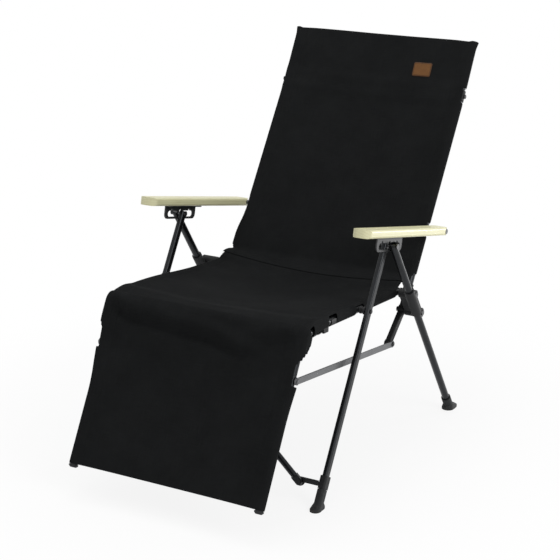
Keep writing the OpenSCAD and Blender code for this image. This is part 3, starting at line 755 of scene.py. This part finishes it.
# Folds of the footrest's cloth: their line as (x, distance below the knee), their ends as
# (left, over, right, over), the hollow's width and depth, and the bulge above it as
# (distance, width, height)
LONG_FOLD = {
    "line": ((-0.25, 0.022), (-0.18, 0.042), (0.0, 0.052), (0.12, 0.073), (0.2, 0.08)),
    "ends": (-0.262, 0.05, 0.17, 0.09),
    "hollow": (0.0105, 0.0150),
    "bulge": (0.026, 0.016, 0.0100),
}
SHORT_FOLD = {
    "line": ((0.10, 0.044), (0.16, 0.036), (0.25, 0.018)),
    "ends": (0.10, 0.06, 0.262, 0.04),
    "hollow": (0.009, 0.0080),
    "bulge": (0.018, 0.012, 0.0055),
}


def seam_dent(x, half):
    return valley(abs(x) - (half - SEAM_IN), 0.0035, 0.0006)


def hem_dent(distance):
    return valley(distance, 0.003, 0.0005)


def seat_relief(along, x):
    """Ripples, the seams, and a soft fold that wanders across behind the knee."""
    lift = ripples(along, x, RAIL_X, 1.0) * ease((along - LAP) / LAP_EASE)
    lift += seam_dent(x, RAIL_X)
    wander = 0.012 * noise.noise(Vector((x * 7, 3.1, 0)))
    lift += valley(seat.length - along - 0.075 - wander, 0.018, 0.0018)
    return lift


def back_relief(along, x):
    """Ripples, the seams and the upper hem."""
    lift = ripples(along, x, RAIL_X, 21.0) * ease((back.length - LAP - along) / LAP_EASE)
    lift += seam_dent(x, RAIL_X)
    lift += hem_dent(along - BACK_HEM)
    return lift


def foot_relief(along, x):
    """Ripples, the seams, the two folds below the knee, slack cloth and the lower hem."""
    lift = ripples(along, x, FOOT_X, 41.0)
    lift += seam_dent(x, FOOT_X)
    below = along - FOOT_LEAD
    for fold in (LONG_FOLD, SHORT_FOLD):
        left, left_over, right, right_over = fold["ends"]
        share = ease((x - left) / left_over) * ease((right - x) / right_over)
        off = below - through(x, fold["line"])
        away, width, height = fold["bulge"]
        lift += share * valley(off, *fold["hollow"])
        lift -= share * valley(off + away, width, height)
    slack = 0.0016 * noise.noise(Vector((x * 3 + below * 6, below * 9, 2.7)))
    lift += slack * ease(below / 0.05)
    lift += hem_dent(along - foot.length + FOOT_HEM)
    return lift


def back_slide(along, x):
    """The top corners are drawn down where their pockets are sewn to the tubes."""
    return 0.0035 * min(1.0, abs(x) / RAIL_X) ** 8 * exp(-along / 0.035)


def foot_slide(along, x):
    """The pull of the cloth draws its lower hem in between the tubes."""
    u = min(1.0, abs(x) / (FOOT_X - 0.004))
    return -(0.0012 * (1 - u**4) * exp(-(foot.length - along) / 0.035))


def rail_sag(t):
    """Along the seat's rails: deepest in their rear half, and shallow at the bend."""
    deeper = 0.004 * sin(pi * min(1, t * 1.4))
    return CREASE_SAG + deeper - 0.007 * max(0.0, (t - 0.5) / 0.5) ** 1.6


def back_sag(t):
    """Along the back's tubes: deepest in the middle."""
    return 0.018 + 0.009 * sin(pi * t) + (CREASE_SAG - 0.018) * t


def knee_roll(behind):
    """How far the seat's cloth stands above its tubes, at a distance behind the knee."""
    bend_lift = SKIN_R + RAIL_RISE
    hump = KNEE_R + 0.16 * behind * (1 - behind / 0.085)
    return bend_lift + (hump - bend_lift) * ease((TIP_LEN - behind) / 0.055)


def over_elbow(away):
    """How far the back's cloth stands above its tubes, by its distance from the elbow."""
    return SKIN_R + 0.003 * ease((0.036 - away) / 0.02)


def seat_flare(along, side):
    """Wider on the left, towards the knee."""
    return 1 + (0.3 if side > 0 else 0.0) * ease((0.07 - seat.length + along) / 0.05)


def back_flare(along, side):
    """Wide at the top corners, and slack on the right below the armrest."""
    slack = 0.9 * ease((along - bolt_along - 0.018) / 0.07) if side < 0 else 0.0
    return 1 + 0.35 * exp(-((along / 0.009) ** 2)) + slack


def foot_flare(along, side):
    """Slack over the knee and below it, where the cloth bulges past the tubes."""
    if side > 0:
        return through(along, ((0.02, 2.1), (0.23, 1.0)))
    return through(along, ((0.0, 1.6), (0.08, 2.1), (0.11, 2.1), (0.24, 1.0)))


seat = Panel(RAIL_X)
seat.relief = seat_relief
seat.flare = seat_flare
seat.hang = lambda along: 6 if along > seat.length / 2 else 3
seat.arc(BACK_JOINT, CREASE_R, 78, 119, CREASE_SAG)
seat.run(
    RAIL_JOINT + 0.008 * RAIL_DIR, RAIL_BEND, RAIL_UP, rail_sag,
    lift=lambda t: SKIN_R + RAIL_RISE * ease((t - 0.3) / 0.6),
)
seat.run(
    RAIL_BEND, RAIL_BEND + TIP_SLEEVE * TIP_DIR, TIP_UP, lambda t: 0.013 - 0.006 * t,
    lift=lambda t: knee_roll(TIP_LEN - t * TIP_SLEEVE),
)
seat.run(
    RAIL_BEND + (TIP_SLEEVE + 0.004) * TIP_DIR, KNEE, TIP_UP, lambda t: 0.007 - 0.004 * t, False,
    lambda t: knee_roll((1 - t) * (TIP_LEN - TIP_SLEEVE - 0.004)),
)
seat.arc(KNEE, KNEE_R, 98, 134, KNEE_SAG)
seat.lay_out()

back = Panel(RAIL_X)
back.relief = back_relief
back.slide = back_slide
back.flare = back_flare
back_start = sqrt((CREASE_R + 0.003) ** 2 - SKIN_R**2) + 0.003
back.run(
    BEND + (HEAD_LEN + 0.0015) * HEAD_UP, BEND + 0.004 * HEAD_UP, faces_sitter(HEAD_UP),
    lambda t: 0.006 + 0.012 * t, lift=lambda t: over_elbow((1 - t) * HEAD_LEN),
)
back.run(
    BEND, BACK_JOINT + back_start * BACK_UP, BACK_OUT, back_sag,
    lift=lambda t: over_elbow(t * (BACK_LEN - back_start)),
)
back.arc(BACK_JOINT, CREASE_R + 0.0018, 66, 103, CREASE_SAG)
back.lay_out()

foot = Panel(FOOT_X)
foot.relief = foot_relief
foot.slide = foot_slide
foot.flare = foot_flare
foot.hang = lambda along: 3 + round(9 * ease((0.1 - along) / 0.06))
foot_out = faces_sitter(-FOOT_DIR)
foot.arc(KNEE, KNEE_WRAP_R, 100, 180 - FOOT_ANGLE - 6, KNEE_SAG)
foot.run(
    KNEE + 0.003 * FOOT_DIR, KNEE + FOOT_TAPER * FOOT_DIR, foot_out,
    lambda t: 0.004 + 0.004 * t, False, lambda t: KNEE_WRAP_R + (SKIN_R - KNEE_WRAP_R) * t,
)
foot.run(
    KNEE + (FOOT_TAPER + 0.003) * FOOT_DIR, KNEE + (FOOT_LEN - 0.001) * FOOT_DIR, foot_out,
    lambda t: 0.008 + 0.005 * sin(pi * min(1, t * 1.1)),
)
foot.lay_out()


def along_of(panel, spot):
    """The length along the panel of the row nearest to a point of the side plane."""
    near = min(range(len(panel.rows)), key=lambda i: (panel.rows[i].point - spot).length)
    return panel.along[near]


# The sleeves are cut out round the fittings
GAP = 0.014
ELBOW_GAP = 0.021
saddle_along = along_of(seat, RAIL_JOINT + SADDLE_S * RAIL_DIR)
clip_along = along_of(seat, RAIL_JOINT + CLIP_S * RAIL_DIR)
bolt_along = along_of(back, ARM_BOLT)
bend_along = along_of(back, BEND)

seat_cuts = [
    (0, along_of(seat, RAIL_JOINT + GAP * RAIL_DIR)),
    (saddle_along - GAP, saddle_along + GAP),
    (clip_along - GAP, clip_along + GAP),
]
back_cuts = [
    (bend_along - ELBOW_GAP, bend_along + GAP),
    (bolt_along - GAP, bolt_along + GAP),
    (along_of(back, BACK_JOINT + (back_start + 0.006) * BACK_UP), back.length),
]

seat_cloth = build_sheet("seat_cloth", seat, seat_cuts)
back_cloth = build_sheet("back_cloth", back, back_cuts)
foot_cloth = build_sheet("footrest_cloth", foot, ())

seat_stitching = stitch_panel("seat_stitching", seat, (), SEAT_SEAM_START)
back_stitching = stitch_panel("back_stitching", back, (BACK_HEM,))
foot_stitching = stitch_panel("footrest_stitching", foot, (foot.length - FOOT_HEM,))


# ---- Leather patch on the backrest ----
PATCH_ALONG = 0.0865
PATCH_X = 0.128
PATCH_CORNER = 0.004
PATCH_THICK = 0.0014
PATCH_LIFT = LIFT + 0.0002  # its underside, off the middle of the cloth


def patch_outline():
    """The patch's edge, round at its corners, from its middle."""
    wide, high = PATCH_W / 2 - PATCH_CORNER, PATCH_H / 2 - PATCH_CORNER
    outline = []
    for cx, cy, start in ((1, 1, 0), (-1, 1, 90), (-1, -1, 180), (1, -1, 270)):
        for k in range(5):
            a = radians(start + 22.5 * k)
            outline.append((cx * wide + PATCH_CORNER * cos(a), cy * high + PATCH_CORNER * sin(a)))
    return outline


def leather_patch():
    """The patch lies on the back's cloth; its rings are (inset, height, share of the size)."""
    rings = [(0.0, 0.0, 1.0), (0.0, 0.0006, 1.0), (0.0005, 0.0011, 1.0)]
    rings += [(0.0016, PATCH_THICK, share) for share in (1.0, 0.75, 0.5, 0.25)]
    outline = patch_outline()
    verts, uvs, faces = [], [], []
    for inset, height, share in rings:
        scale_x = (PATCH_W / 2 - inset) / (PATCH_W / 2) * share
        scale_y = (PATCH_H / 2 - inset) / (PATCH_H / 2) * share
        for px, py in outline:
            px, py = px * scale_x, py * scale_y
            verts.append(back.at(PATCH_ALONG + py, PATCH_X + px, PATCH_LIFT + height))
            uvs.append((px, py))
    count = len(outline)
    for first in range(0, count * (len(rings) - 1), count):
        for k in range(count):
            a, b = first + k, first + (k + 1) % count
            faces.append((a, b, b + count, a + count))
    last = len(verts)
    verts.append(back.at(PATCH_ALONG, PATCH_X, PATCH_LIFT + PATCH_THICK))
    uvs.append((0, 0))
    for k in range(count):
        faces.append((last - count + k, last - count + (k + 1) % count, last))
    faces.append(tuple(reversed(range(count))))
    piece = add_piece("leather_patch", verts, faces, uvs)
    edit_mesh(piece, face_outward)
    bpy.ops.object.shade_smooth_by_angle(angle=radians(50))
    dress(piece, "leather")
    return piece


def spread(reach, count):
    """Places from -reach to reach, each in the middle of its share."""
    return [-reach + 2 * reach * (number + 0.5) / count for number in range(count)]


def patch_seam():
    """Stitching round the patch, a little inside its edge."""
    inset, ahead = 0.003, 0.001
    half_w, half_h = PATCH_W / 2 - inset, PATCH_H / 2 - inset
    places = [(x, y, (0, ahead)) for x in spread(half_w, 15) for y in (-half_h, half_h)]
    places += [(x, y, (ahead, 0)) for y in spread(half_h, 8) for x in (-half_w, half_w)]
    spots = [
        stitch_spot(back, PATCH_ALONG + y, PATCH_X + x, step, PATCH_LIFT + PATCH_THICK)
        for x, y, step in places
    ]
    return build_stitches("patch_stitching", spots, 0.0024, 0.0007)


patch = leather_patch()
patch_stitching = patch_seam()

# ---- What the cloth rides on, and what it stands for ----
# Each piece rides on the body of its left tube and gets a mesh of its own; the share the fold
# would keep is worked out but not applied
for piece, body, half in (
    (seat_cloth, "frame_left", RAIL_X),
    (seat_stitching, "frame_left", RAIL_X),
    (back_cloth, "back_left", RAIL_X),
    (back_stitching, "back_left", RAIL_X),
    (patch, "back_left", RAIL_X),
    (patch_stitching, "back_left", RAIL_X),
    (foot_cloth, "footrest_left", FOOT_X),
    (foot_stitching, "footrest_left", FOOT_X),
):
    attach(piece, body)
    keep = 1 - FOLD_SHIFT / (2 * half)
    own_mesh(piece)

for piece, node, panel, tube, with_pieces in (
    (seat_cloth, "seat_sling", seat, "seat_rail", [seat_stitching]),
    (back_cloth, "back_sling", back, "back_tube", [back_stitching, patch, patch_stitching]),
    (foot_cloth, "footrest_sling", foot, "footrest_rail", [foot_stitching]),
):
    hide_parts(node)
    cut_width = 2 * (panel.half + SKIN_R * pi + SEAM_IN)


# ---- Floor, light and camera ----
# The rays that show the background: camera, reflection and glass
SHOWING_RAYS = ("Is Camera Ray", "Is Glossy Ray", "Is Transmission Ray")
WORLD_LIGHT = 0.6


def seen_rays(finish):
    """1 for the rays that show the background, and 0 for the others."""
    camera_ray, glossy, glass = (
        finish.node("ShaderNodeLightPath", {}, out=kind) for kind in SHOWING_RAYS
    )
    return (camera_ray + glossy + glass).at_most(1.0)


def pale_floor():
    """White to the camera and to reflections, with the chair's soft shadow."""
    pale = (0.92, 0.92, 0.92, 1)
    floor = Finish("pale floor", Roughness=0.9, Specular_IOR_Level=0.0, Base_Color=pale)
    reach = floor.node("ShaderNodeVectorMath", {"operation": "LENGTH"}, floor.place(), out=1)
    glow = floor.tree.nodes.new("ShaderNodeEmission")
    blend = floor.tree.nodes.new("ShaderNodeMixShader")
    share = seen_rays(floor) * (0.86 + 0.14 * reach.above(0.85, 0.7))
    floor.tree.links.new(share.socket, blend.inputs[0])
    floor.tree.links.new(floor.shader.outputs[0], blend.inputs[1])
    floor.tree.links.new(glow.outputs[0], blend.inputs[2])
    floor.tree.links.new(blend.outputs[0], floor.tree.nodes["Material Output"].inputs[0])
    return floor.material


bpy.ops.mesh.primitive_plane_add(size=24, location=(0, 0, 0))
floor = bpy.context.active_object
floor.name = "floor"
floor.data.materials.append(pale_floor())


def white_world():
    """A plain world that lights the object softly and shows as white."""
    world = bpy.data.worlds.new("studio")
    bpy.context.scene.world = world
    world.use_nodes = True
    nodes, links = world.node_tree.nodes, world.node_tree.links
    background = nodes["Background"]
    background.inputs["Color"].default_value = (1, 1, 1, 1)
    rays = nodes.new("ShaderNodeLightPath")
    level = WORLD_LIGHT
    for kind in SHOWING_RAYS:
        add = nodes.new("ShaderNodeMath")
        add.operation = "MULTIPLY_ADD"
        add.inputs[1].default_value = 1 - WORLD_LIGHT
        links.new(rays.outputs[kind], add.inputs[0])
        if isinstance(level, float):
            add.inputs[2].default_value = level
        else:
            links.new(level, add.inputs[2])
        level = add.outputs[0]
    links.new(level, background.inputs["Strength"])


white_world()


def soft_box(name, at, aim, size, power):
    """A square area light, its size in metres and its power in watts."""
    light = bpy.data.lights.new(name, "AREA")
    light.shape = "SQUARE"
    light.size = size
    light.energy = power
    lamp = bpy.data.objects.new(name, light)
    lamp.location = at
    lamp.rotation_euler = (Vector(aim) - Vector(at)).to_track_quat("-Z", "Y").to_euler()
    bpy.context.scene.collection.objects.link(lamp)


soft_box("key", (3.2, -1.0, 2.2), (0, 0, 0.45), 1.4, 44)
soft_box("rim", (2.0, 3.3, 0.2), (0, 0, 0.3), 0.9, 80)
soft_box("top", (-0.6, 0.4, 3.4), (0, 0, 0.4), 2.2, 34)

# The camera as fitted to the picture: its focal length in pixels, its place and its angles
FOCAL_PX = 1566
PICTURE_PX = 560
SENSOR_MM = 36
CAMERA_AT = (1.763, -3.1684, 1.575)
CAMERA_DOWN = 17.95
CAMERA_TURN = 29.25

view = bpy.data.cameras.new("camera")
view.sensor_width = SENSOR_MM
view.lens = FOCAL_PX / PICTURE_PX * SENSOR_MM
camera = bpy.data.objects.new("camera", view)
camera.location = CAMERA_AT
camera.rotation_euler = (radians(90 - CAMERA_DOWN), 0, radians(CAMERA_TURN))
bpy.context.scene.collection.objects.link(camera)
bpy.context.scene.camera = camera
bpy.context.scene.view_settings.view_transform = "Standard"
